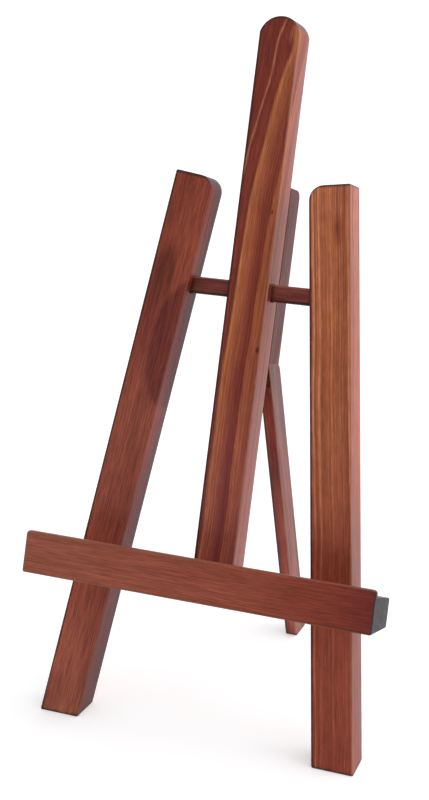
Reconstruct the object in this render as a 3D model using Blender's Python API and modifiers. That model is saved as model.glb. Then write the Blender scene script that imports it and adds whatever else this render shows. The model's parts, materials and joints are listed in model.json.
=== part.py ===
"""Small wooden table easel: two splayed front legs, a centre mast, a rabbeted ledge and a hinged rear leg.

Metres, +Z up, floor at z = 0, the front of the easel faces -Y, +X is the viewer's right.
The flat frame (legs, mast, crossbar, ledge, stop block) is drawn upright and leant back by its parent
empty: x runs across it, y rearward from the front face of the legs, z up it.
The rear leg hangs from a second empty that stands on the hinge pin, with z running up the leg.
"""
import math

import bmesh
import bpy
from mathutils import Matrix, Vector

NAME = "table_easel"

# ---------------------------------------------------------------- clearances
GAP = 0.0003          # between two pieces that touch
HOLE_END = 0.0006     # past the end of a tenon, a dowel or a screw tip
PIN_GAP = 0.0001      # between the hinge pin and its knuckles

# ---------------------------------------------------------------- stance
LEAN = math.radians(21.2)       # frame leans back from vertical
REAR_RAKE = math.radians(12.1)  # rear leg from vertical, foot to the rear
FOLD = LEAN + REAR_RAKE         # the rear leg swings through this to lie along the mast

# ---------------------------------------------------------------- stock
STOCK_W = 0.025      # width of the front legs and the mast
STOCK_T = 0.0175     # thickness of the front legs and the mast
EDGE = 0.0011        # eased edge of the planed stock
EDGE_FACETS = 3

# ---------------------------------------------------------------- front legs
FOOT_HALF = 0.0865   # leg centre line from the middle, at the floor
HEAD_HALF = 0.0414   # leg centre line from the middle, at the top
HEAD_UP = 0.3277     # height of the leg tops up the frame
LEG_CORNER = 0.0085  # rounded inner top corner
SPLAY = math.atan2(FOOT_HALF - HEAD_HALF, HEAD_UP)
LEG_LEN = math.hypot(FOOT_HALF - HEAD_HALF, HEAD_UP)

# ---------------------------------------------------------------- ledge
LEDGE_LEN = 0.2145
LEDGE_BOTTOM = 0.0843
LEDGE_H = 0.0248
LEDGE_D = 0.0290
LIP_T = 0.0046
LIP_RISE = 0.0041
SHELF_FALL = 0.0022  # the shelf drops this much towards the frame
BASE_RISE = 0.0016   # the underside rises this much towards the frame
LIP_CORNER = 0.0022  # rounded ends of the lip
SHELF_Z = LEDGE_BOTTOM + LEDGE_H - LIP_RISE

# ---------------------------------------------------------------- mast
MAST_TOP = 0.4215
MAST_CROWN = 0.0094  # rise of the rounded top
MAST_BOTTOM = LEDGE_BOTTOM + BASE_RISE + 0.0025

# ---------------------------------------------------------------- crossbar
CROSS_BOTTOM = 0.2585
CROSS_H = 0.0099
CROSS_T = 0.0055
TENON = 0.008
CROSS_Y = ((STOCK_T - CROSS_T) / 2, (STOCK_T + CROSS_T) / 2)
CROSS_Z = (CROSS_BOTTOM, CROSS_BOTTOM + CROSS_H)
CROSS_MID = CROSS_BOTTOM + CROSS_H / 2

# ---------------------------------------------------------------- hinge
PIN_R = 0.00055
KNUCKLE_R = 0.0013
LEAF_T = 0.0006
LEAF_OUT = 0.0012    # leaf's wood side from the pin centre
LEAF_LEN = 0.0150
HINGE_W = 0.0056
PIN_OFF = 0.0004     # pin centre from the wooden face the leaf is let into
LEAF_HOLES = (0.0050, 0.0110)
LEAF_STAGGER = 0.0022  # the moving leaf's screws sit lower, clear of the fixed leaf's heads

# ---------------------------------------------------------------- stop block and rear leg
BLOCK_BOTTOM = 0.2232
BLOCK_LEN = 0.1027
BLOCK_T = 0.0165
BLOCK_CORNER = 0.0050
REAR_W = 0.0078
REAR_T = 0.0155
REAR_CROWN = 0.0042  # rounded rear corner of the rear leg's top
REAR_X = STOCK_W / 2 - REAR_W / 2   # its side is flush with the side of the mast

# ---------------------------------------------------------------- fixings
SCREW_R = 0.0016
SCREW_HEAD_R = 0.0034
SCREW_HEAD_T = 0.0022
LEDGE_BITE = 0.0155  # ledge screws reach this far into the ledge
BLOCK_BITE = 0.0110  # block screws reach this far into the mast
BLOCK_SCREWS_UP = (0.024, 0.076)
MAST_SCREW_X = 0.0052
PEG_R = 0.00065      # screws of the hinge leaves
PEG_HEAD_R = 0.0013
PEG_LEN = 0.0060
DOWEL_R = 0.0014
DOWEL_LEN = 0.0135

# ---------------------------------------------------------------- where the pieces meet
PIN_Y = STOCK_T + PIN_OFF
PIN_Z = BLOCK_BOTTOM - GAP - KNUCKLE_R
BLOCK_Y = (STOCK_T + GAP, STOCK_T + GAP + BLOCK_T)
LEAF_FACE = LEAF_OUT - LEAF_T   # open face of a leaf from the pin centre


def leg_line(z):
    """Centre line of the right leg at height z up the frame."""
    return FOOT_HALF + (HEAD_HALF - FOOT_HALF) * z / HEAD_UP


CROSS_HALF = leg_line(CROSS_MID) - STOCK_W / 2 / math.cos(SPLAY)
CROSS_END = CROSS_HALF + TENON
LEG_DOWEL_X = CROSS_HALF + TENON * 0.55
LEDGE_SCREW_Z = (LEDGE_BOTTOM + BASE_RISE + SHELF_Z - SHELF_FALL) / 2
LEDGE_SCREW_X = (-leg_line(LEDGE_SCREW_Z), -MAST_SCREW_X, MAST_SCREW_X, leg_line(LEDGE_SCREW_Z))

# the first facets of the eased feet and of the eased mast top are the ends of the stance
FACET = math.radians(90 / EDGE_FACETS)
FOREMOST = EDGE * (1 - math.cos(FACET) + (1 - math.sin(FACET)) * math.sin(LEAN))
REARMOST = ((STOCK_T - EDGE * (1 - math.cos(FACET))) * math.cos(LEAN)
            + (MAST_TOP - EDGE * (1 - math.sin(FACET))) * math.sin(LEAN))
FRAME_AT = Vector((0, -(FOREMOST + REARMOST) / 2, 0))
PIN_AT = FRAME_AT + Matrix.Rotation(-LEAN, 3, "X") @ Vector((REAR_X, PIN_Y, PIN_Z))
REAR_REACH = PIN_AT.z / math.cos(REAR_RAKE)

# ---------------------------------------------------------------- colours
STAIN = (0.165, 0.045, 0.022)
STAIN_DARK = (0.105, 0.028, 0.018)
PALE_WOOD = (0.30, 0.15, 0.07)
BRASS = (0.22, 0.14, 0.07)
STEEL = (0.42, 0.42, 0.43)


# ================================================================ scene
for old in list(bpy.data.objects):
    bpy.data.objects.remove(old, do_unlink=True)
parts = bpy.data.collections.new(NAME)
cutters = bpy.data.collections.new(NAME + "_cutters")
for group in (parts, cutters):
    bpy.context.scene.collection.children.link(group)


def empty(name, location, tilt):
    obj = bpy.data.objects.new(name, None)
    obj.location = location
    obj.rotation_euler.x = tilt
    parts.objects.link(obj)
    return obj


FRAME = empty("frame_lean", FRAME_AT, -LEAN)
HINGE = empty("rear_hinge", PIN_AT, REAR_RAKE)


# ================================================================ helpers
def material(name, colour, roughness, metallic=0.0):
    mat = bpy.data.materials.new(name)
    mat.use_nodes = True
    shader = mat.node_tree.nodes["Principled BSDF"]
    shader.inputs["Base Color"].default_value = (*colour, 1.0)
    shader.inputs["Roughness"].default_value = roughness
    shader.inputs["Metallic"].default_value = metallic
    mat.diffuse_color = (*colour, 1.0)
    return mat


def wood(name, colour=STAIN):
    return material("wood_" + name, colour, 0.42)


def metal(name, colour):
    return material("metal_" + name, colour, 0.32, 1.0)


def add(name, mesh, parent, location=(0, 0, 0), rotation=(0, 0, 0), group=cutters):
    obj = bpy.data.objects.new(name, mesh)
    obj.parent = parent
    obj.location = location
    obj.rotation_euler = rotation
    group.objects.link(obj)
    if group is cutters:
        obj.hide_render = True
        obj.display_type = "WIRE"
    return obj


def to_mesh(name, bm):
    mesh = bpy.data.meshes.new(name)
    bmesh.ops.recalc_face_normals(bm, faces=bm.faces)
    bm.to_mesh(mesh)
    bm.free()
    return mesh


def box(name, x, y, z, parent=None, group=cutters):
    """Box between two x, two y and two z, its origin at its middle."""
    bm = bmesh.new()
    bmesh.ops.create_cube(bm, size=1.0)
    bmesh.ops.scale(bm, verts=bm.verts, vec=(x[1] - x[0], y[1] - y[0], z[1] - z[0]))
    middle = [(pair[0] + pair[1]) / 2 for pair in (x, y, z)]
    return add(name, to_mesh(name, bm), parent, middle, group=group)


def rod(name, start, end, radius, parent, end_radius=None, segments=20, group=cutters):
    """Cylinder, or cone, from start to end."""
    run = Vector(end) - Vector(start)
    bm = bmesh.new()
    bmesh.ops.create_cone(
        bm, cap_ends=True, segments=segments, depth=run.length, radius1=radius,
        radius2=radius if end_radius is None else end_radius)
    turn = run.to_track_quat("Z", "Y").to_euler()
    middle = (Vector(start) + Vector(end)) / 2
    return add(name, to_mesh(name, bm), parent, middle, turn, group)


def flat_mesh(name, outline, thickness):
    """Flat 2-D outline filled and extruded half its thickness to each side of z = 0."""
    curve = bpy.data.curves.new(name, "CURVE")
    curve.dimensions = "2D"
    curve.fill_mode = "BOTH"
    curve.extrude = thickness / 2
    spline = curve.splines.new("POLY")
    spline.points.add(len(outline) - 1)
    for point, (a, b) in zip(spline.points, outline):
        point.co = (a, b, 0, 1)
    spline.use_cyclic_u = True
    obj = bpy.data.objects.new(name, curve)
    bpy.context.scene.collection.objects.link(obj)
    depsgraph = bpy.context.evaluated_depsgraph_get()
    filled = bpy.data.meshes.new_from_object(obj.evaluated_get(depsgraph))
    bpy.data.objects.remove(obj)
    bm = bmesh.new()
    bm.from_mesh(filled)
    bpy.data.meshes.remove(filled)
    bmesh.ops.remove_doubles(bm, verts=bm.verts, dist=0.000002)
    bmesh.ops.dissolve_limit(bm, angle_limit=0.001, verts=bm.verts, edges=bm.edges)
    return bm


def across(name, outline, thickness, parent, location=(0, 0, 0), rotation=(0, 0, 0)):
    """Piece whose (x, z) outline is seen from the front; it runs rearward from its location."""
    bm = flat_mesh(name, outline, thickness)
    bm.transform(Matrix.Translation((0, thickness / 2, 0)) @ Matrix.Rotation(math.pi / 2, 4, "X"))
    return add(name, to_mesh(name, bm), parent, location, rotation, parts)


def along(name, outline, width, parent, location=(0, 0, 0)):
    """Piece whose (y, z) outline is seen from the side; it runs half its width to each side."""
    bm = flat_mesh(name, outline, width)
    bm.transform(Matrix(((0, 0, 1, 0), (1, 0, 0, 0), (0, 1, 0, 0), (0, 0, 0, 1))))
    return add(name, to_mesh(name, bm), parent, location, group=parts)


def arc(a, b, radius, start, stop, steps):
    """Points on an arc about (a, b), angles in degrees."""
    angles = [math.radians(start + (stop - start) * i / steps) for i in range(steps + 1)]
    return [(a + radius * math.cos(t), b + radius * math.sin(t)) for t in angles]


def ease(obj, width=EDGE):
    mod = obj.modifiers.new("eased_edges", "BEVEL")
    mod.width = width
    mod.segments = EDGE_FACETS
    mod.limit_method = "ANGLE"
    mod.angle_limit = math.radians(35)
    mod.use_clamp_overlap = True


def combine(obj, tools, operation="DIFFERENCE"):
    for tool in tools:
        mod = obj.modifiers.new(tool.name, "BOOLEAN")
        mod.operation = operation
        mod.solver = "EXACT"
        mod.object = tool


def settle(obj, mat):
    """Keeps the modified shape as the object's own mesh, shaded smooth with crisp corners."""
    depsgraph = bpy.context.evaluated_depsgraph_get()
    mesh = bpy.data.meshes.new_from_object(obj.evaluated_get(depsgraph))
    obj.modifiers.clear()
    obj.data = mesh
    mesh.name = obj.name
    mesh.materials.clear()
    mesh.materials.append(mat)
    mesh.shade_smooth()
    mesh.set_sharp_from_angle(angle=math.radians(28))
    return obj


def sink(name, at, side, radius, head_r, head_t, parent):
    """Countersink for a screw head, its open end on a face that looks to side * y."""
    over = head_t * 0.3
    spread = (head_r - radius) / head_t * over
    face = Vector(at) + Vector((0, side * over, 0))
    neck = Vector(at) - Vector((0, side * (head_t + over), 0))
    return rod(name, neck, face, radius + GAP - spread, parent, head_r + GAP + spread, 24)


def sunk_hole(name, x, z, face, tip):
    """Clearance hole with a countersink in a rear face, for a wood screw driven forward."""
    shank = rod(name + "_shank", (x, face + 0.001, z), (x, tip, z), SCREW_R + GAP, FRAME,
                segments=16)
    return [sink(name + "_sink", (x, face, z), 1, SCREW_R, SCREW_HEAD_R, SCREW_HEAD_T, FRAME), shank]


def turned(name, profile, steps):
    """Mesh turned about z from an (r, z) profile that runs down its outer side."""
    bm = bmesh.new()
    ring = [bm.verts.new((r, 0, z)) for r, z in profile]
    for upper, lower in zip(ring, ring[1:]):
        bm.edges.new((upper, lower))
    mesh = bpy.data.meshes.new(name)
    bm.to_mesh(mesh)
    bm.free()
    obj = add(name, mesh, None)
    mod = obj.modifiers.new("turn", "SCREW")
    mod.axis = "Z"
    mod.steps = steps
    mod.render_steps = steps
    mod.use_merge_vertices = True
    mod.merge_threshold = 0.00001
    return obj


def screw_mesh(name, radius, head_r, head_t, length, slot, mat):
    """Countersunk slotted screw, its head's flat at z = 0 and its point down."""
    tip = [(radius, -length + radius * 1.6), (0, -length)]
    blank = turned(name, [(0, 0), (head_r, 0), (radius, -head_t)] + tip, 20)
    saw = box(name + "_slot", (-head_r * 2, head_r * 2), (-slot / 2, slot / 2),
              (-head_t * 0.35, 0.001))
    combine(blank, [saw])
    mesh = settle(blank, mat).data
    bpy.data.objects.remove(blank)
    return mesh


FLOOR = box("floor_cut", (-0.2, 0.2), (-0.3, 0.3), (-0.1, 0.0))


# ================================================================ front legs
def front_leg(name, side):
    half = STOCK_W / 2
    below = -STOCK_T * math.tan(LEAN) - half * math.tan(SPLAY) - 0.004
    outline = [(half, below), (half, LEG_LEN)]
    outline += arc(LEG_CORNER - half, LEG_LEN - LEG_CORNER, LEG_CORNER, 90, 180, 8)
    outline += [(-half, below)]
    if side < 0:
        outline = [(-a, b) for a, b in reversed(outline)]
    leg = across(name, outline, STOCK_T, FRAME, (side * FOOT_HALF, 0, 0), (0, -side * SPLAY, 0))
    combine(leg, [FLOOR])
    ease(leg)
    reach = sorted((side * (CROSS_HALF - 0.006), side * (CROSS_END + HOLE_END)))
    mortise = box(name + "_mortise", reach, (CROSS_Y[0] - GAP, CROSS_Y[1] + GAP),
                  (CROSS_Z[0] - GAP, CROSS_Z[1] + GAP), FRAME)
    x = side * LEG_DOWEL_X
    peg = rod(name + "_dowel_hole", (x, STOCK_T + 0.001, CROSS_MID),
              (x, STOCK_T - DOWEL_LEN - HOLE_END, CROSS_MID), DOWEL_R + GAP, FRAME, segments=16)
    hole = sunk_hole(name + "_screw", side * leg_line(LEDGE_SCREW_Z), LEDGE_SCREW_Z, STOCK_T, -0.002)
    combine(leg, [mortise, peg] + hole)
    return settle(leg, wood(name))


front_leg("left_leg", -1)
front_leg("right_leg", 1)


# ================================================================ mast
def leaf_pocket(name, parent, x, y, z, side):
    """Recess for a hinge leaf and its knuckles: from the pin at (y, z) into the wood on one side."""
    deep = sorted((y + side * (KNUCKLE_R + GAP), y - side * 0.002))
    half = HINGE_W / 2 + GAP
    return box(name, (x - half, x + half), deep, (z - LEAF_LEN - GAP, z + KNUCKLE_R + GAP), parent)


half = STOCK_W / 2
crown_r = (half ** 2 + MAST_CROWN ** 2) / (2 * MAST_CROWN)
spread = math.degrees(math.asin(half / crown_r))
outline = [(-half, MAST_BOTTOM), (half, MAST_BOTTOM)]
outline += arc(0, MAST_TOP - crown_r, crown_r, 90 - spread, 90 + spread, 16)
mast = across("mast", outline, STOCK_T, FRAME)
ease(mast)
tools = [
    box("mast_mortise", (-STOCK_W, STOCK_W), (CROSS_Y[0] - GAP, CROSS_Y[1] + GAP),
        (CROSS_Z[0] - GAP, CROSS_Z[1] + GAP), FRAME),
    rod("mast_dowel_hole", (0, STOCK_T + 0.001, CROSS_MID),
        (0, STOCK_T - DOWEL_LEN - HOLE_END, CROSS_MID), DOWEL_R + GAP, FRAME, segments=16),
    leaf_pocket("mast_leaf_pocket", FRAME, REAR_X, PIN_Y, PIN_Z, -1),
]
for x in LEDGE_SCREW_X[1:3]:
    tools += sunk_hole("mast_screw", x, LEDGE_SCREW_Z, STOCK_T, -0.002)
for up in BLOCK_SCREWS_UP:
    z = BLOCK_BOTTOM + up
    tools.append(rod("mast_block_hole", (0, STOCK_T + 0.001, z),
                     (0, STOCK_T - BLOCK_BITE - HOLE_END, z), SCREW_R + GAP, FRAME, segments=16))
for down in LEAF_HOLES:
    z = PIN_Z - down
    tools.append(rod("mast_leaf_hole", (REAR_X, STOCK_T, z),
                     (REAR_X, PIN_Y - LEAF_FACE - PEG_LEN - HOLE_END, z), PEG_R + GAP, FRAME,
                     segments=12))
combine(mast, tools)
settle(mast, wood("mast"))


# ================================================================ crossbar
crossbar = box("crossbar", (-CROSS_END, CROSS_END), CROSS_Y, CROSS_Z, FRAME, parts)
ease(crossbar, 0.0004)
combine(crossbar, [rod("crossbar_hole", (x, CROSS_Y[0] - 0.001, CROSS_MID),
                       (x, CROSS_Y[1] + 0.001, CROSS_MID), DOWEL_R + GAP, FRAME, segments=16)
                   for x in (-LEG_DOWEL_X, 0, LEG_DOWEL_X)])
settle(crossbar, wood("crossbar", STAIN_DARK))


# ================================================================ ledge
rear = -GAP
front = rear - LEDGE_D
top = LEDGE_BOTTOM + LEDGE_H
outline = [
    (front, LEDGE_BOTTOM), (rear, LEDGE_BOTTOM + BASE_RISE), (rear, SHELF_Z - SHELF_FALL),
    (front + LIP_T, SHELF_Z), (front + LIP_T, top), (front, top),
]
ledge = along("ledge", outline, LEDGE_LEN, FRAME)
bm = bmesh.new()
bm.from_mesh(ledge.data)
lip_ends = [edge for edge in bm.edges
            if abs(edge.verts[0].co.x - edge.verts[1].co.x) < 1e-5
            and min(v.co.z for v in edge.verts) > top - 1e-5]
bmesh.ops.bevel(bm, geom=lip_ends, offset=LIP_CORNER, segments=5, profile=0.5, affect="EDGES")
bm.to_mesh(ledge.data)
bm.free()
ease(ledge)
combine(ledge, [rod("ledge_hole", (x, 0.001, LEDGE_SCREW_Z),
                    (x, -LEDGE_BITE - HOLE_END, LEDGE_SCREW_Z), SCREW_R + GAP, FRAME, segments=16)
                for x in LEDGE_SCREW_X])
settle(ledge, wood("ledge"))


# ================================================================ stop block
block_top = BLOCK_BOTTOM + BLOCK_LEN
outline = [(BLOCK_Y[0], BLOCK_BOTTOM - 2 * EDGE), (BLOCK_Y[1], BLOCK_BOTTOM - 2 * EDGE)]
outline += arc(BLOCK_Y[1] - BLOCK_CORNER, block_top - BLOCK_CORNER, BLOCK_CORNER, 0, 90, 8)
outline += [(BLOCK_Y[0], block_top)]
block = along("stop_block", outline, STOCK_W, FRAME)
ease(block)
# the two faces that meet at the stop are left square
tools = [box("block_stop_cut", (-STOCK_W, STOCK_W), (0, 2 * BLOCK_Y[1]),
             (BLOCK_BOTTOM - BLOCK_T, BLOCK_BOTTOM), FRAME)]
for up in BLOCK_SCREWS_UP:
    tools += sunk_hole("block_screw", 0, BLOCK_BOTTOM + up, BLOCK_Y[1], STOCK_T)
combine(block, tools)
settle(block, wood("stop_block", STAIN_DARK))


# ================================================================ rear leg
def rear_top(y):
    """The blank's top runs parallel to the underside of the block, an eased edge too high."""
    return (KNUCKLE_R + EDGE - y * math.sin(FOLD)) / math.cos(FOLD)


y0 = PIN_OFF
y1 = PIN_OFF + REAR_T
below = -REAR_REACH - 0.02
outline = [(y0, below), (y1, below), (y1, rear_top(y1)), (y0, rear_top(y0))]
rear_leg = along("rear_leg", outline, REAR_W, HINGE)
bm = bmesh.new()
bm.from_mesh(rear_leg.data)
crown = [edge for edge in bm.edges
         if all(abs(v.co.y - y1) < 1e-6 and v.co.z > below / 2 for v in edge.verts)]
bmesh.ops.bevel(bm, geom=crown, offset=REAR_CROWN, segments=4, profile=0.5, affect="EDGES")
bm.to_mesh(rear_leg.data)
bm.free()
combine(rear_leg, [FLOOR])
ease(rear_leg, EDGE * 0.8)
tools = [
    box("rear_stop_cut", (-STOCK_W, STOCK_W), (0, 2 * BLOCK_Y[1]),
        (BLOCK_BOTTOM - GAP, BLOCK_BOTTOM + BLOCK_T), FRAME),
    leaf_pocket("rear_leaf_pocket", HINGE, 0, 0, 0, 1),
]
for down in LEAF_HOLES:
    z = -down - LEAF_STAGGER
    tools.append(rod("rear_leaf_hole", (0, 0, z), (0, LEAF_FACE + PEG_LEN + HOLE_END, z),
                     PEG_R + GAP, HINGE, segments=12))
combine(rear_leg, tools)
settle(rear_leg, wood("rear_leg", STAIN_DARK))


# ================================================================ hinge
def leaf(name, parent, location, side, used, holes):
    """Leaf on one side of the pin: a sheet below the knuckles, tabs, and the knuckles it owns."""
    third = (HINGE_W - 2 * GAP) / 3
    lo = -HINGE_W / 2
    sheet = sorted((side * LEAF_OUT, side * LEAF_FACE))
    shoulder = -KNUCKLE_R - 2 * GAP
    plate = box(name, (lo, -lo), sheet, (-LEAF_LEN, shoulder), parent, parts)
    offset = Vector(location)
    plate.location += offset
    grown = []
    for i in used:
        a = lo + i * (third + GAP)
        tab = box(f"{name}_tab", (a, a + third), sheet, (shoulder - 0.0005, 0), parent)
        tab.location += offset
        grown.append(tab)
        grown.append(rod(f"{name}_knuckle", offset + Vector((a, 0, 0)),
                         offset + Vector((a + third, 0, 0)), KNUCKLE_R, parent, segments=24))
    combine(plate, grown, "UNION")
    drills = [rod(f"{name}_bore", offset + Vector((lo * 2, 0, 0)), offset - Vector((lo * 2, 0, 0)),
                  PIN_R + PIN_GAP, parent, segments=24)]
    for down in holes:
        at = offset + Vector((0, side * LEAF_FACE, -down))
        drills.append(sink(f"{name}_hole", at, -side, PEG_R, PEG_HEAD_R, LEAF_T, parent))
    combine(plate, drills)
    return settle(plate, metal(name, BRASS))


pin_spot = Vector((REAR_X, PIN_Y, PIN_Z))
moved_holes = tuple(down + LEAF_STAGGER for down in LEAF_HOLES)
leaf("hinge_leaf_fixed", FRAME, pin_spot, -1, (0, 2), LEAF_HOLES)
leaf("hinge_leaf_moving", HINGE, (0, 0, 0), 1, (1,), moved_holes)
pin = rod("hinge_pin", pin_spot - Vector((HINGE_W / 2, 0, 0)), pin_spot + Vector((HINGE_W / 2, 0, 0)),
          PIN_R, FRAME, segments=24, group=parts)
settle(pin, metal("hinge_pin", STEEL))


# ================================================================ screws and dowels
def place(name, mesh, parent, location, head_faces=1):
    """Sets a screw with its head facing rearward (1) or forward (-1)."""
    return add(name, mesh, parent, location, (-head_faces * math.pi / 2, 0, 0), parts)


long_screw = screw_mesh("wood_screw", SCREW_R, SCREW_HEAD_R, SCREW_HEAD_T, STOCK_T + LEDGE_BITE,
                        0.0006, metal("ledge_screw", STEEL))
for name, x in zip(("left", "mast_left", "mast_right", "right"), LEDGE_SCREW_X):
    place("ledge_screw_" + name, long_screw, FRAME, (x, STOCK_T, LEDGE_SCREW_Z))

block_screw = screw_mesh("block_screw", SCREW_R, SCREW_HEAD_R, SCREW_HEAD_T,
                         BLOCK_T + GAP + BLOCK_BITE, 0.0006, metal("block_screw", STEEL))
for name, up in zip(("lower", "upper"), BLOCK_SCREWS_UP):
    place("block_screw_" + name, block_screw, FRAME, (0, BLOCK_Y[1], BLOCK_BOTTOM + up))

hinge_screw = screw_mesh("hinge_screw", PEG_R, PEG_HEAD_R, LEAF_T, PEG_LEN,
                         0.0003, metal("hinge_screw", BRASS))
for name, down in zip(("upper", "lower"), LEAF_HOLES):
    place("hinge_screw_fixed_" + name, hinge_screw, FRAME,
          (REAR_X, PIN_Y - LEAF_FACE, PIN_Z - down))
for name, down in zip(("upper", "lower"), moved_holes):
    place("hinge_screw_moving_" + name, hinge_screw, HINGE, (0, LEAF_FACE, -down), -1)

dowel_wood = wood("dowel", PALE_WOOD)
for name, x in (("left", -LEG_DOWEL_X), ("middle", 0), ("right", LEG_DOWEL_X)):
    dowel = rod("crossbar_dowel_" + name, (x, STOCK_T - DOWEL_LEN, CROSS_MID),
                (x, STOCK_T, CROSS_MID), DOWEL_R, FRAME, segments=16, group=parts)
    settle(dowel, dowel_wood)
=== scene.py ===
"""Stained-wood table easel on a white sweep: finishes, light and camera round the CAD frame."""

import json
import math

import bmesh
import bpy
from mathutils import Matrix, Vector


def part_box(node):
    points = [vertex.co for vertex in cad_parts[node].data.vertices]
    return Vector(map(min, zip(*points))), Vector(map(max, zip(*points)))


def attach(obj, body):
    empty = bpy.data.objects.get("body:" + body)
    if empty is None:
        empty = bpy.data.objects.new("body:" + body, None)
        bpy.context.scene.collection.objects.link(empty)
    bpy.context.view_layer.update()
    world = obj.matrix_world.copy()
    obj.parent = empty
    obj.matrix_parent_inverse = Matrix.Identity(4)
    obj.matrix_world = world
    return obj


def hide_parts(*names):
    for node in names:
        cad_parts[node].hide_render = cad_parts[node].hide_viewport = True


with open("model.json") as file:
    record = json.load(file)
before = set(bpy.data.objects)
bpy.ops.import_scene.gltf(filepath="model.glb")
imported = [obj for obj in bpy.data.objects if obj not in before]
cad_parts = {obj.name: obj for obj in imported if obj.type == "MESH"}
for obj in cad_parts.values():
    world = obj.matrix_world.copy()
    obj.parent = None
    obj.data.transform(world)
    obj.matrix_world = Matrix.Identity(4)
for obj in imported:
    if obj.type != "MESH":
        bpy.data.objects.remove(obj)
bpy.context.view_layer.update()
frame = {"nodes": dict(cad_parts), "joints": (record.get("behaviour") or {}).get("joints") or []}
NODES = frame["nodes"]

# ---------------------------------------------------------------- the easel's own sizes, in metres
LEAN = math.radians(21.2)
REAR_RAKE = math.radians(12.1)
FOOT_HALF, HEAD_HALF, HEAD_UP = 0.0865, 0.0414, 0.3277
SPLAY = math.atan2(FOOT_HALF - HEAD_HALF, HEAD_UP)
RAIL_UP = 0.26345  # middle of the crossbar, up the leaning frame
BLOCK_FACE = 0.0178  # front face of the stop block, behind the frame's front
LEDGE_MID = (0, -0.0293, 0.0967)
PIN = Vector(frame["joints"][0]["pos_m"])
FRAME_AT = Vector((0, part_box("left_leg")[0].y, 0))
CLOSE = 0.00026  # how much of a 0.3 mm joint is closed

# ---------------------------------------------------------------- the same in mm, for the grain
MM = 0.001
BAR_HALF, BAR_DEPTH = 12.5, 17.5
LEG_TOP = math.hypot(FOOT_HALF - HEAD_HALF, HEAD_UP) / MM
CROWN_MID = 408.5  # centre of the mast's rounded top
RAIL_ENTRIES = (12.5, 37.6)  # where the crossbar goes into the mast and into the legs

# ---------------------------------------------------------------- tones shared by the woods
PAINTED_SHADE = (0.036, 0.011, 0.009)  # painted shade on edges turned from the light and at joints
DARK_NEAR_FLOOR = (0.030, 0.009, 0.008)  # darker within about 2 mm of the floor
KNOTTED = (0.030, 0.010, 0.008)
CATCHING = (0.50, 0.23, 0.15)  # a long edge that catches the light
RUBBED = (0.36, 0.15, 0.075)  # bare wood at a rubbed edge
BROWN_END = (0.062, 0.028, 0.021)


# ================================================================ bar axes
def turn(x=0.0, y=0.0):
    return Matrix.Rotation(x, 3, "X") @ Matrix.Rotation(y, 3, "Y")


# columns: across the bar, through its depth, along it
UPRIGHT = turn(-LEAN)
LEFT_LEG = turn(-LEAN, SPLAY)
RIGHT_LEG = turn(-LEAN, -SPLAY)
REAR_LEG = turn(REAR_RAKE)
CROSSWISE = UPRIGHT @ Matrix(((0, 0, -1), (0, 1, 0), (1, 0, 0)))


def upright(x, y, z):
    """World place of a point given in the leaning frame."""
    return FRAME_AT + UPRIGHT @ Vector((x, y, z))


# ================================================================ node trees
class Tree:
    """Node tree of a material or a world; its methods take sockets or plain values."""

    def __init__(self, owner):
        owner.use_nodes = True
        self.tree = owner.node_tree

    def put(self, socket, value):
        if isinstance(value, bpy.types.NodeSocket):
            self.tree.links.new(value, socket)
        elif value is not None:
            socket.default_value = value

    def node(self, kind, inputs=(), **settings):
        made = self.tree.nodes.new("ShaderNode" + kind)
        for key, value in settings.items():
            setattr(made, key, value)
        for key, value in dict(inputs).items():
            self.put(made.inputs[key], value)
        return made

    def math(self, operation, a, b=None, c=None, clamp=False):
        made = self.node("Math", operation=operation, use_clamp=clamp)
        for socket, value in zip(made.inputs, (a, b, c)):
            self.put(socket, value)
        return made.outputs[0]

    def add(self, a, b):
        return self.math("ADD", a, b)

    def sub(self, a, b):
        return self.math("SUBTRACT", a, b)

    def mul(self, a, b):
        return self.math("MULTIPLY", a, b)

    def linear(self, value, scale, offset):
        return self.math("MULTIPLY_ADD", value, scale, offset)

    def size(self, value):
        return self.math("ABSOLUTE", value)

    def larger(self, a, b):
        return self.math("MAXIMUM", a, b)

    def dot(self, a, b):
        return self.node("VectorMath", {0: a, 1: b}, operation="DOT_PRODUCT").outputs["Value"]

    def step(self, value, low, high, out_low=0.0, out_high=1.0):
        """Smooth step of value from low to high."""
        made = self.node("MapRange", interpolation_type="SMOOTHSTEP")
        for socket, given in zip(made.inputs, (value, low, high, out_low, out_high)):
            self.put(socket, given)
        return made.outputs[0]

    def vector(self, x, y, z):
        return self.node("CombineXYZ", {0: x, 1: y, 2: z}).outputs[0]

    def noise(self, x, y, z, detail=2.0, rough=0.5, distortion=0.0):
        made = self.node("TexNoise", {
            "Vector": self.vector(x, y, z), "Scale": 1.0, "Detail": detail,
            "Roughness": rough, "Distortion": distortion})
        return made.outputs[0]

    def mix(self, factor, a, b, blend="MIX"):
        made = self.node("Mix", data_type="RGBA", blend_type=blend)
        for index, value in ((0, factor), (6, a), (7, b)):
            if isinstance(value, tuple):
                value = (*value, 1.0)
            self.put(made.inputs[index], value)
        return made.outputs[2]

    def tint(self, a, b):
        return self.mix(1.0, a, b, "MULTIPLY")

    def shaded(self, colour, amount):
        """The colour with all its channels scaled by one amount."""
        return self.tint(colour, self.vector(amount, amount, amount))

    def ramp(self, value, stops):
        """Colour ramp from (position, colour) pairs over their own range."""
        low, high = stops[0][0], stops[-1][0]
        place = self.math("DIVIDE", self.sub(value, low), high - low, clamp=True)
        made = self.node("ValToRGB", {0: place})
        elements = made.color_ramp.elements
        while len(elements) < len(stops):
            elements.new(0.5)
        for element, (position, colour) in zip(elements, stops):
            element.position = (position - low) / (high - low)
            element.color = (*colour, 1.0)
        return made.outputs[0]


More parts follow.
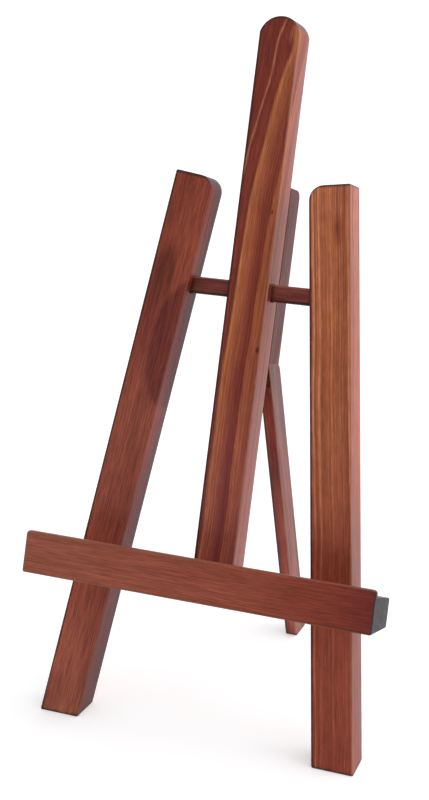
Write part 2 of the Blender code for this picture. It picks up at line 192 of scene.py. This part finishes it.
class Surface(Tree):
    """A material with its Principled shader."""

    def __init__(self, name):
        self.material = bpy.data.materials.new(name)
        super().__init__(self.material)
        self.shader = self.tree.nodes["Principled BSDF"]

    def set(self, name, value):
        self.put(self.shader.inputs[name], value)

    def bump(self, height, strength, distance):
        made = self.node("Bump", {"Height": height, "Strength": strength, "Distance": distance})
        self.set("Normal", made.outputs[0])


def tone(red, green, blue):
    """Linear albedo of a display colour seen under this scene's frontal light."""
    return tuple(max(((c / 255 + 0.055) / 1.055) ** 2.4 * 1.45 - 0.012, 0.002)
                 for c in (red, green, blue))


# ================================================================ wood
class Wood(Surface):
    """Stained pine, described in millimetres: u across the bar, y through it, z along it."""

    def __init__(self, name, origin, axes, half=BAR_HALF, depth=BAR_DEPTH):
        super().__init__(name)
        coords = self.node("TexCoord")
        local = self.node("Mapping", {
            "Vector": coords.outputs["Object"], "Location": origin,
            "Rotation": axes.to_euler(), "Scale": (MM, MM, MM)}, vector_type="TEXTURE")
        self.u, self.y, self.z = self.node("SeparateXYZ", {0: local.outputs[0]}).outputs
        self.normal = coords.outputs["Normal"]
        height = self.node("SeparateXYZ", {0: coords.outputs["Object"]}).outputs[2]
        self.floor_up = self.mul(height, 1000.0)
        self.end = self.step(self.size(self.dot(self.normal, axes.col[2])), 0.22, 0.72)
        self.flank = self.step(self.size(self.dot(self.normal, axes.col[0])), 0.55, 0.85)
        # distance in from the nearest long edge
        to_side = self.sub(half, self.size(self.u))
        to_face = self.sub(depth / 2, self.size(self.sub(self.y, depth / 2)))
        self.from_edge = self.larger(to_side, to_face)
        # the eased rim all round the front face
        front = self.dot(self.normal, -axes.col[1])
        self.rim = self.mul(self.step(front, 0.0, 0.08), self.step(front, 0.995, 0.93))
        wander = self.noise(self.mul(self.u, 0.03), self.mul(self.y, 0.03),
                            self.mul(self.z, 0.011), detail=1)
        self.across = self.add(self.u, self.linear(wander, 5.0, -2.5))

    def fibres(self, seed):
        """Short streaks that run along the bar, 0 to 1."""
        long = self.noise(self.linear(self.across, 1.5, seed), self.mul(self.y, 1.5),
                          self.mul(self.z, 0.070), detail=4, rough=0.75)
        return self.step(long, 0.34, 0.66)

    def stripes(self, field, seed):
        """Fine growth rings that follow the field, 0 to 1."""
        rings = self.noise(self.linear(field, 1.15, seed), self.mul(self.y, 0.10),
                           self.mul(self.z, 0.006), detail=3, rough=0.62)
        return self.step(rings, 0.34, 0.66)

    def clouds(self, seed):
        """Broad patches where the stain took more or less, 0 to 1."""
        patches = self.noise(self.linear(self.u, 0.05, seed), self.mul(self.y, 0.05),
                             self.mul(self.z, 0.022), detail=2, rough=0.5)
        return self.step(patches, 0.32, 0.68)

    def ragged(self, field, seed, amount):
        """The field pulled about along the fibres, so that ring edges are uneven."""
        pull = self.noise(self.linear(self.across, 0.9, seed), self.mul(self.y, 0.9),
                          self.mul(self.z, 0.028), detail=3, rough=0.7)
        return self.add(field, self.linear(pull, amount, -amount / 2))

    def knot(self, colour, u0, z0, wide, tall, strength=0.8, hue=KNOTTED):
        """Dark oval knot with a soft rim."""
        du = self.math("DIVIDE", self.sub(self.u, u0), wide)
        dz = self.math("DIVIDE", self.sub(self.z, z0), tall)
        reach = self.math("SQRT", self.add(self.mul(du, du), self.mul(dz, dz)))
        return self.mix(self.step(reach, 0.5, 1.3, strength, 0.0), colour, hue)

    def top_edge_shade(self, colour, depth, amount):
        """Painted shade along the top edge of a front leg."""
        near = self.step(self.z, LEG_TOP - depth, LEG_TOP - 0.8, 0.0, amount)
        return self.mix(near, colour, PAINTED_SHADE)

    def sides_and_ends(self, colour, field, side_tint, rear_tone, rear_amount, end_tone_and_sheen):
        """Tints the side faces with their own colour and with painted shade and sheen, darkens them
        toward the back, and lays end grain on the cuts, in places with a painted reflection.
        """
        if isinstance(side_tint, list):
            side_tint = self.ramp(self.z, side_tint)
        colour = self.mix(self.flank, colour, self.tint(colour, side_tint))
        if rear_tone is not None:
            back = self.mul(self.flank, self.step(self.y, 3.0, 17.0, 0.0, rear_amount))
            colour = self.mix(back, colour, rear_tone)
        rings = self.linear(self.math("SINE", self.mul(field, 3.2)), 0.22, 1.0)
        return self.mix(self.end, colour, self.shaded(end_tone_and_sheen, rings))

    def edges(self, colour, edge_shade, shine):
        """Painted shade on the left and upper edges, painted highlight on the right, dark feet,
        worn spots.
        """
        chips = self.noise(self.mul(self.u, 0.5), self.mul(self.y, 0.5), self.mul(self.z, 0.09),
                           detail=3)
        uneven = self.add(self.from_edge, self.linear(chips, 1.2, -0.6))
        arris = self.step(uneven, 0.45, 1.35, 1.0, 0.0)
        left = self.mul(self.step(uneven, 0.9, 2.0, 1.0, 0.0), self.step(self.u, 1.0, -1.0))
        turned_right = self.dot(self.normal, (1.0, 0.0, 0.0))
        rim = self.mul(self.rim, self.step(turned_right, 0.30, 0.60, 1.0, 0.0))
        # painted shade on the left edges and on the front rim except where it turns right
        colour = self.mix(self.mul(self.larger(left, rim), edge_shade), colour, PAINTED_SHADE)
        # painted highlight along the right-hand edges
        lit = self.mul(self.mul(arris, self.step(self.u, -1.0, 1.0)),
                       self.step(self.end, 0.5, 0.1))
        colour = self.mix(self.mul(lit, shine), colour, CATCHING)
        # darker within about 2 mm of the floor
        foot = self.add(self.floor_up, self.linear(chips, 2.4, -1.2))
        colour = self.mix(self.step(foot, 0.4, 2.2, 0.85, 0.0), colour, DARK_NEAR_FLOOR)
        worn = self.mul(arris, self.step(chips, 0.60, 0.72))
        return self.mix(self.mul(worn, 0.55), colour, RUBBED)

    def finish(self, colour, field, seed, streak=0.5, fine=0.35, cloud=0.25, gloss=0.40,
               specular=0.28, edge_shade=0.86, shine=0.45, side_tint=(1.0, 1.0, 1.0),
               rear_tone=None, rear_amount=0.5, end_tone_and_sheen=BROWN_END):
        """Lays rings, fibres and stain clouds over a colour, then sides, ends, edges and gloss."""
        stripes, fibres, clouds = self.stripes(field, seed), self.fibres(seed), self.clouds(seed)
        shade = self.linear(stripes, streak, 1 - streak / 2)
        shade = self.mul(shade, self.linear(fibres, fine, 1 - fine / 2))
        shade = self.mul(shade, self.linear(clouds, cloud, 1 - cloud / 2))
        colour = self.shaded(colour, shade)
        colour = self.sides_and_ends(colour, field, side_tint, rear_tone, rear_amount, end_tone_and_sheen)
        self.set("Base Color", self.edges(colour, edge_shade, shine))
        self.set("Specular IOR Level", specular)
        sheen = self.linear(stripes, -0.10, gloss + 0.05)
        sheen = self.add(sheen, self.linear(clouds, 0.08, -0.04))
        self.set("Roughness", self.add(sheen, self.mul(self.end, 0.08)))
        self.bump(self.add(self.mul(stripes, 0.55), self.mul(fibres, 0.45)), 0.35, 0.00012)
        return self.material


def mast_wood():
    w = Wood("mast_stained_pine", FRAME_AT, UPRIGHT)
    # the rings climb across the face and run out steeply near the top
    climb = w.math("POWER", math.e, w.linear(w.z, 1 / 65, -403 / 65))
    field = w.add(w.add(w.across, 10.0), w.mul(climb, -22.0))
    near_top = w.mul(w.step(w.z, 380, 410), w.step(field, -2, -9))
    field = w.add(field, w.mul(near_top, 4.5))
    field = w.add(field, w.mul(w.step(w.z, 396, 420), 2.0))
    band = w.mul(w.step(w.z, 335, 392), w.step(field, -6.5, -2.5))
    field = w.add(field, w.mul(band, 2.0))
    field = w.add(field, w.mul(w.y, 0.9))
    dark, mid, warm = tone(106, 48, 40), tone(123, 62, 47), tone(138, 74, 51)
    colour = w.ramp(w.ragged(field, 5.0, 3.0), [
        (-24, tone(108, 50, 42)), (-9.6, dark), (-8.5, tone(152, 92, 72)), (-7.6, dark),
        (-4.0, tone(116, 55, 44)), (-1.1, dark), (0.3, tone(160, 97, 64)),
        (2.2, tone(149, 84, 55)), (5.0, warm), (8.0, mid), (10.5, dark), (12.6, dark),
        (13.8, tone(146, 82, 55)), (17.5, warm), (21.0, mid), (22.2, dark), (23.2, warm),
        (28.0, mid), (29.0, dark), (30.0, warm), (38.0, mid)])
    # the second dark ring fades out half way up
    fade = w.mul(w.step(w.z, 170, 290), w.mul(w.step(field, 6.5, 8.5), w.step(field, 18, 14)))
    colour = w.mix(w.mul(fade, 0.30), colour, tone(130, 66, 47))
    # the foot of the mast is paler and pinker
    colour = w.mix(w.step(w.z, 250, 110, 0.0, 0.20), colour, tone(150, 85, 92))
    # painted shade along the left part of the rounded top
    from_crown = w.node("VectorMath", {0: w.vector(w.u, w.sub(w.z, CROWN_MID), 0.0)},
                        operation="LENGTH").outputs["Value"]
    crown_shade = w.mul(w.step(from_crown, 10.9, 12.5, 0.0, 0.85),
                  w.mul(w.step(w.z, 409, 415), w.step(w.u, 7.0, 3.0)))
    colour = w.mix(crown_shade, colour, PAINTED_SHADE)
    colour = w.knot(colour, 10.6, 229.7, 1.0, 1.9)
    colour = w.knot(colour, 9.2, 309.0, 0.8, 1.3, 0.6)
    return w.finish(
        colour, field, seed=3.1, streak=0.42, fine=0.45, cloud=0.18,
        # the lavender-grey end tone is a painted reflection on the rounded top
        end_tone_and_sheen=(0.170, 0.100, 0.108), rear_tone=(0.32, 0.155, 0.150), rear_amount=0.45,
        side_tint=[(85, (1.0, 0.94, 0.94)), (200, (0.94, 0.84, 0.86)),
                   (300, (1.0, 0.80, 0.70)), (420, (1.0, 0.76, 0.62))])


def right_leg_wood():
    w = Wood("right_leg_stained_pine", Vector((FOOT_HALF, 0, 0)) + FRAME_AT, RIGHT_LEG)
    field = w.add(w.across, w.mul(w.y, 0.55))
    colour = w.ramp(w.z, [
        (0, tone(127, 60, 45)), (60, tone(136, 69, 52)), (120, tone(139, 72, 53)),
        (190, tone(152, 88, 61)), (240, tone(150, 86, 58)), (330, tone(158, 93, 65))])
    # close straight rings, plainer at the foot and along the middle
    lines = w.noise(w.linear(field, 1.35, 11.0), w.mul(w.y, 0.02), w.mul(w.z, 0.0022),
                    detail=2, rough=0.6)
    lines = w.sub(w.step(lines, 0.40, 0.60), 0.5)
    middle = w.mul(w.step(w.u, -7.0, -2.5), w.step(w.u, 7.5, 4.5))
    plainer = w.mul(w.step(w.z, 60, 230, 0.40, 1.0), w.linear(middle, -0.55, 1.0))
    shade = w.linear(lines, w.mul(plainer, 0.58), 1.0)
    redder = w.linear(lines, w.mul(plainer, 0.74), 1.0)
    colour = w.tint(colour, w.vector(shade, redder, shade))
    # single lines that come and go: place across, width, strength; the salmon line at 11.3, along
    # the right edge, is a painted highlight, the rest are grain
    salmon, russet = tone(206, 130, 102), tone(110, 48, 37)
    for at, wide, amount, hue in (
            (-9.8, 0.80, 0.60, salmon), (-6.3, 0.60, 0.52, salmon), (-1.9, 0.40, 0.25, russet),
            (1.0, 0.50, 0.22, salmon), (5.4, 0.80, 0.34, russet), (7.4, 0.45, 0.30, salmon),
            (9.3, 1.30, 0.62, russet), (11.3, 0.60, 0.50, salmon)):
        reach = w.size(w.sub(w.ragged(w.across, at + 30.0, 1.1), at))
        present = w.noise(w.linear(w.z, 0.012, at), 0.0, 0.0, detail=2)
        line = w.mul(w.step(reach, wide, 0.25 * wide),
                     w.step(present, 0.36, 0.60, 0.20 * amount, amount))
        colour = w.mix(w.mul(line, w.step(w.z, 40, 240, 0.35, 1.0)), colour, hue)
    colour = w.knot(colour, 5.0, 304.0, 3.4, 10.0, 0.50, tone(112, 48, 38))
    colour = w.knot(colour, 4.6, 305.0, 1.3, 4.0, 0.35)
    colour = w.top_edge_shade(colour, 2.2, 0.65)
    mottle = w.noise(w.mul(w.u, 0.30), w.mul(w.y, 0.30), w.mul(w.z, 0.12), detail=3, rough=0.65)
    colour = w.shaded(colour, w.linear(w.step(mottle, 0.35, 0.65), 0.16, 0.92))
    return w.finish(
        colour, field, seed=7.7, streak=0.20, fine=0.36, cloud=0.15,
        side_tint=[(0, (0.72, 0.67, 0.82)), (60, (0.58, 0.52, 0.62)), (120, (0.58, 0.52, 0.62)),
                   (190, (0.76, 0.60, 0.72)), (330, (0.84, 0.66, 0.78))])


def left_leg_wood():
    w = Wood("left_leg_stained_pine", Vector((-FOOT_HALF, 0, 0)) + FRAME_AT, LEFT_LEG)
    field = w.add(w.mul(w.across, 0.7), w.mul(w.y, 0.55))
    blot = w.noise(w.mul(w.u, 0.05), w.mul(w.y, 0.05), w.linear(w.z, 0.017, 4.0),
                   detail=3, rough=0.55, distortion=0.4)
    dark = w.ramp(w.z, [
        (0, tone(133, 75, 61)), (115, tone(132, 71, 60)), (180, tone(124, 69, 57)),
        (240, tone(113, 57, 51)), (290, tone(119, 60, 49))])
    light = w.ramp(w.z, [
        (0, tone(146, 84, 65)), (115, tone(145, 79, 63)), (180, tone(136, 76, 60)),
        (240, tone(125, 64, 53)), (290, tone(132, 68, 52))])
    colour = w.mix(w.step(blot, 0.36, 0.64), dark, light)
    # dark heart of a broad cathedral figure against the inner edge, and a stain pool above it
    along = w.math("DIVIDE", w.sub(w.z, 231.0), 38.0)
    hill = w.sub(w.mul(w.mul(w.mul(along, along), w.size(along)), 13.0), w.add(w.u, 0.5))
    hill = w.ragged(hill, 9.0, 3.0)
    colour = w.mix(w.mul(w.step(hill, 2.5, -1.5), 0.50), colour, tone(76, 38, 38))
    colour = w.knot(colour, -4.0, 268.0, 7.5, 22.0, 0.46)
    colour = w.top_edge_shade(colour, 2.4, 0.75)
    return w.finish(
        colour, field, seed=21.0, streak=0.18, fine=0.58, cloud=0.14,
        # the lavender-grey end tone is a painted reflection on the cut top
        end_tone_and_sheen=(0.150, 0.102, 0.116), shine=0.15, specular=0.18,
        rear_tone=(0.034, 0.020, 0.030), rear_amount=0.6,
        # painted shade: the inner side much darker, most toward the foot
        side_tint=[(0, (0.36, 0.20, 0.20)), (60, (0.42, 0.24, 0.26)), (120, (0.48, 0.27, 0.30)),
                   (190, (0.94, 0.44, 0.52)), (280, (1.0, 0.58, 0.56)), (330, (1.0, 0.58, 0.56))])


def ledge_wood():
    w = Wood("ledge_stained_pine", upright(*LEDGE_MID), CROSSWISE, 12.4, 29.0)
    field = w.add(w.mul(w.across, 0.8), w.mul(w.y, 0.5))
    # z runs from +107 at the left end to -107 at the right end
    colour = w.ramp(w.z, [
        (-107, tone(100, 45, 40)), (-85, tone(116, 54, 44)), (-40, tone(127, 65, 51)),
        (20, tone(134, 73, 58)), (107, tone(136, 78, 62))])
    return w.finish(
        colour, field, seed=33.0, streak=0.28, fine=0.50, cloud=0.10,
        end_tone_and_sheen=(0.017, 0.008, 0.017), gloss=0.38, shine=0.20, edge_shade=0.25, specular=0.24)


def plain_wood(name, origin, axes, half, depth, light, dark, seed, joints=None, **extra):
    """Wood of no marked figure; painted shade where it enters other bars, at joints."""
    w = Wood(name, origin, axes, half, depth)
    field = w.add(w.across, w.mul(w.y, 0.6))
    blend = w.noise(w.mul(w.u, 0.12), w.mul(w.y, 0.12), w.linear(w.z, 0.02, seed), detail=2)
    colour = w.mix(w.step(blend, 0.35, 0.65), tone(*dark), tone(*light))
    if joints is not None:
        inner, outer = joints
        reach = w.size(w.z)
        near = w.larger(w.step(reach, inner + 3.2, inner), w.step(reach, outer - 3.2, outer))
        # painted shade at the joints
        colour = w.mix(w.mul(near, 0.78), colour, PAINTED_SHADE)
    return w.finish(colour, field, seed=seed, **extra)


def crossbar_wood():
    return plain_wood("crossbar_stained_pine", upright(0, 0.006, RAIL_UP), CROSSWISE, 4.95, 5.5,
                      light=(121, 65, 56), dark=(98, 49, 45), seed=41.0, streak=0.3, fine=0.6,
                      joints=RAIL_ENTRIES)


def block_wood():
    return plain_wood("stop_block_stained_pine", upright(0, BLOCK_FACE, 0), UPRIGHT, 12.5, 16.5,
                      light=(98, 60, 54), dark=(78, 44, 41), seed=52.0, streak=0.3, fine=0.6,
                      shine=0.1, specular=0.15,
                      side_tint=[(222, (1.0, 0.84, 0.80)), (270, (1.0, 0.86, 0.76)),
                                 (300, (1.0, 0.60, 0.50)), (330, (1.0, 0.62, 0.54))])


def rear_leg_wood():
    return plain_wood("rear_leg_stained_pine", PIN + REAR_LEG @ Vector((0, 0.0004, 0)), REAR_LEG,
                      3.9, 15.5, light=(138, 68, 52), dark=(106, 46, 40), seed=63.0,
                      # the side tint turns the side pinkish grey: painted sheen
                      streak=0.35, fine=0.5, side_tint=(0.70, 0.90, 1.20),
                      rear_tone=(0.060, 0.030, 0.032), rear_amount=0.35)


def dowel_wood():
    return plain_wood("dowel_end_grain", upright(0, BAR_DEPTH * MM, RAIL_UP), CROSSWISE, 40.0, 40.0,
                      light=(176, 128, 86), dark=(140, 92, 58), seed=71.0, streak=0.3, fine=0.5)


# ================================================================ metal
def metal(name, colour, stain, roughness, brushed):
    """Metal with brushing and handling stains."""
    t = Surface(name)
    place = t.node("SeparateXYZ", {0: t.node("TexCoord").outputs["Object"]})
    x, y, z = (t.mul(part, 1000.0) for part in place.outputs)
    marks = t.noise(t.mul(x, brushed), t.mul(y, 5.0), t.mul(z, 5.0), detail=3, rough=0.65)
    patches = t.noise(t.mul(x, 0.6), t.mul(y, 0.6), t.mul(z, 0.6), detail=3)
    dull = t.step(patches, 0.42, 0.68)
    t.set("Base Color", t.mix(dull, colour, stain))
    t.set("Metallic", 1.0)
    t.set("Roughness", t.add(t.linear(marks, 0.22, roughness - 0.11), t.mul(dull, 0.16)))
    t.bump(marks, 0.25, 0.00003)
    return t.material


# ================================================================ pieces
SHARP = math.radians(38.0)  # edges turned by more than this stay crisp
WELD = 2e-6
FLAT = math.radians(0.2)


def let_out(bm, moves):
    """Lets the low faces out along each axis of the leaning frame, to close the joint there."""
    for axis, move in zip(UPRIGHT.col, moves):
        low = min(v.co.dot(axis) for v in bm.verts)
        for v in bm.verts:
            if v.co.dot(axis) < low + CLOSE:
                v.co += axis * move


def piece(name, node, material, body="easel_frame", moves=()):
    """The node's own solid, welded and smoothly shaded, with its finish."""
    bm = bmesh.new()
    bm.from_mesh(NODES[node].data)
    bmesh.ops.remove_doubles(bm, verts=bm.verts, dist=WELD)
    bmesh.ops.dissolve_limit(bm, angle_limit=FLAT, verts=bm.verts, edges=bm.edges)
    let_out(bm, moves)
    bmesh.ops.recalc_face_normals(bm, faces=bm.faces)
    mesh = bpy.data.meshes.new(name)
    bm.to_mesh(mesh)
    bm.free()
    mesh.materials.append(material)
    mesh.shade_smooth()
    mesh.set_sharp_from_angle(angle=SHARP)
    obj = bpy.data.objects.new(name, mesh)
    bpy.context.scene.collection.objects.link(obj)
    weighted = obj.modifiers.new("even_faces", "WEIGHTED_NORMAL")
    weighted.keep_sharp = True
    weighted.weight = 100
    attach(obj, body)
    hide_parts(node)


piece("mast_bar", "mast", mast_wood())
piece("left_leg_bar", "left_leg", left_leg_wood())
piece("right_leg_bar", "right_leg", right_leg_wood())
piece("ledge_bar", "ledge", ledge_wood())
piece("crossbar_rail", "crossbar", crossbar_wood())
piece("stop_block_bar", "stop_block", block_wood(), moves=(0.0, -CLOSE, -CLOSE))
piece("rear_leg_bar", "rear_leg", rear_leg_wood(), "rear_leg")

dowel_end = dowel_wood()
for spot in ("left", "middle", "right"):
    piece("dowel_" + spot, "crossbar_dowel_" + spot, dowel_end)

brass = metal("hinge_antique_brass", (0.125, 0.072, 0.043), (0.050, 0.028, 0.020), 0.38, 1.2)
zinc = metal("screw_zinc", (0.52, 0.52, 0.53), (0.26, 0.26, 0.27), 0.30, 5.0)
steel = metal("pin_bright_steel", (0.55, 0.55, 0.56), (0.30, 0.30, 0.31), 0.26, 1.0)
piece("hinge_plate_fixed", "hinge_leaf_fixed", brass)
piece("hinge_plate_moving", "hinge_leaf_moving", brass, "rear_leg")
piece("hinge_pin_rod", "hinge_pin", steel)
for spot in ("upper", "lower"):
    piece("hinge_peg_fixed_" + spot, "hinge_screw_fixed_" + spot, brass)
    piece("hinge_peg_moving_" + spot, "hinge_screw_moving_" + spot, brass,
          "rear_leg")
    piece("block_fixing_" + spot, "block_screw_" + spot, zinc)
for spot in ("left", "mast_left", "mast_right", "right"):
    piece("ledge_fixing_" + spot, "ledge_screw_" + spot, zinc)


# ================================================================ floor and light
FLOOR_REACH = 14.0
FLOOR_GLOW = 0.37  # lifts the sweep to white


def floor():
    t = Surface("pale_sweep")
    place = t.node("SeparateXYZ", {0: t.node("TexCoord").outputs["Object"]})
    grain = t.noise(t.mul(place.outputs[0], 60.0), t.mul(place.outputs[1], 60.0), 0.0, detail=2)
    t.set("Base Color", t.mix(grain, (0.90, 0.90, 0.90), (0.93, 0.93, 0.93)))
    t.set("Roughness", 0.9)
    t.set("Specular IOR Level", 0.1)
    t.set("Emission Color", (1.0, 1.0, 1.0, 1.0))
    t.set("Emission Strength", FLOOR_GLOW)
    bm = bmesh.new()
    bmesh.ops.create_circle(bm, cap_ends=True, segments=96, radius=FLOOR_REACH)
    mesh = bpy.data.meshes.new("studio_floor")
    bm.to_mesh(mesh)
    bm.free()
    mesh.materials.append(t.material)
    obj = bpy.data.objects.new("studio_floor", mesh)
    bpy.context.scene.collection.objects.link(obj)


def sky():
    """White to look at; it lights from above, behind and the right, little from the front."""
    world = bpy.data.worlds.new("soft_studio")
    bpy.context.scene.world = world
    t = Tree(world)
    t.tree.nodes.clear()
    direction = t.node("TexCoord").outputs["Generated"]

    def glow(toward, low, amount):
        return t.step(t.dot(direction, Vector(toward).normalized()), low, 1.0, 0.0, amount)

    light = glow((0.1, 0.25, 1.0), -0.1, 0.68)
    light = t.add(light, glow((1.0, 0.15, 0.35), 0.0, 0.55))
    light = t.add(light, glow((0.1, 1.0, 0.2), 0.0, 0.40))
    light = t.add(light, glow((-0.3, -1.0, 0.4), -1.0, 0.10))
    lamp = t.node("Background", {0: (0.96, 0.98, 1.0, 1.0), 1: light})
    plain = t.node("Background", {0: (1.0, 1.0, 1.0, 1.0), 1: 1.0})
    pick = t.node("MixShader", {0: t.node("LightPath").outputs["Is Camera Ray"],
                                1: lamp.outputs[0], 2: plain.outputs[0]})
    t.node("OutputWorld", {0: pick.outputs[0]})


def soft_box(name, location, target, width, height, watts):
    light = bpy.data.lights.new(name, "AREA")
    light.shape = "RECTANGLE"
    light.size = width
    light.size_y = height
    light.energy = watts
    obj = bpy.data.objects.new(name, light)
    obj.location = location
    aim = Vector(target) - Vector(location)
    obj.rotation_euler = aim.to_track_quat("-Z", "Y").to_euler()
    bpy.context.scene.collection.objects.link(obj)


floor()
sky()
soft_box("key_right", (1.6, 0.3, 1.1), (0, 0, 0.15), 1.4, 1.2, 7.0)
bpy.context.scene.view_settings.view_transform = "Standard"

# ================================================================ camera
CAMERA_AT = (0.36788, -0.87675, 0.55151)
AZIMUTH, PITCH, ROLL = (math.radians(angle) for angle in (23.718, 21.232, -1.247))
LENS = 78.80


def camera():
    data = bpy.data.cameras.new("view")
    data.sensor_fit = "AUTO"
    data.sensor_width = 36.0
    data.lens = LENS
    data.clip_start = 0.05
    obj = bpy.data.objects.new("view", data)
    back = Vector((math.sin(AZIMUTH) * math.cos(PITCH), -math.cos(AZIMUTH) * math.cos(PITCH),
                   math.sin(PITCH)))
    right = Vector((math.cos(AZIMUTH), math.sin(AZIMUTH), 0))
    above = back.cross(right)
    side = math.cos(ROLL) * right + math.sin(ROLL) * above
    top = math.cos(ROLL) * above - math.sin(ROLL) * right
    axes = Matrix((side, top, back)).transposed().to_4x4()
    obj.matrix_world = Matrix.Translation(CAMERA_AT) @ axes
    bpy.context.scene.collection.objects.link(obj)
    bpy.context.scene.camera = obj


camera()
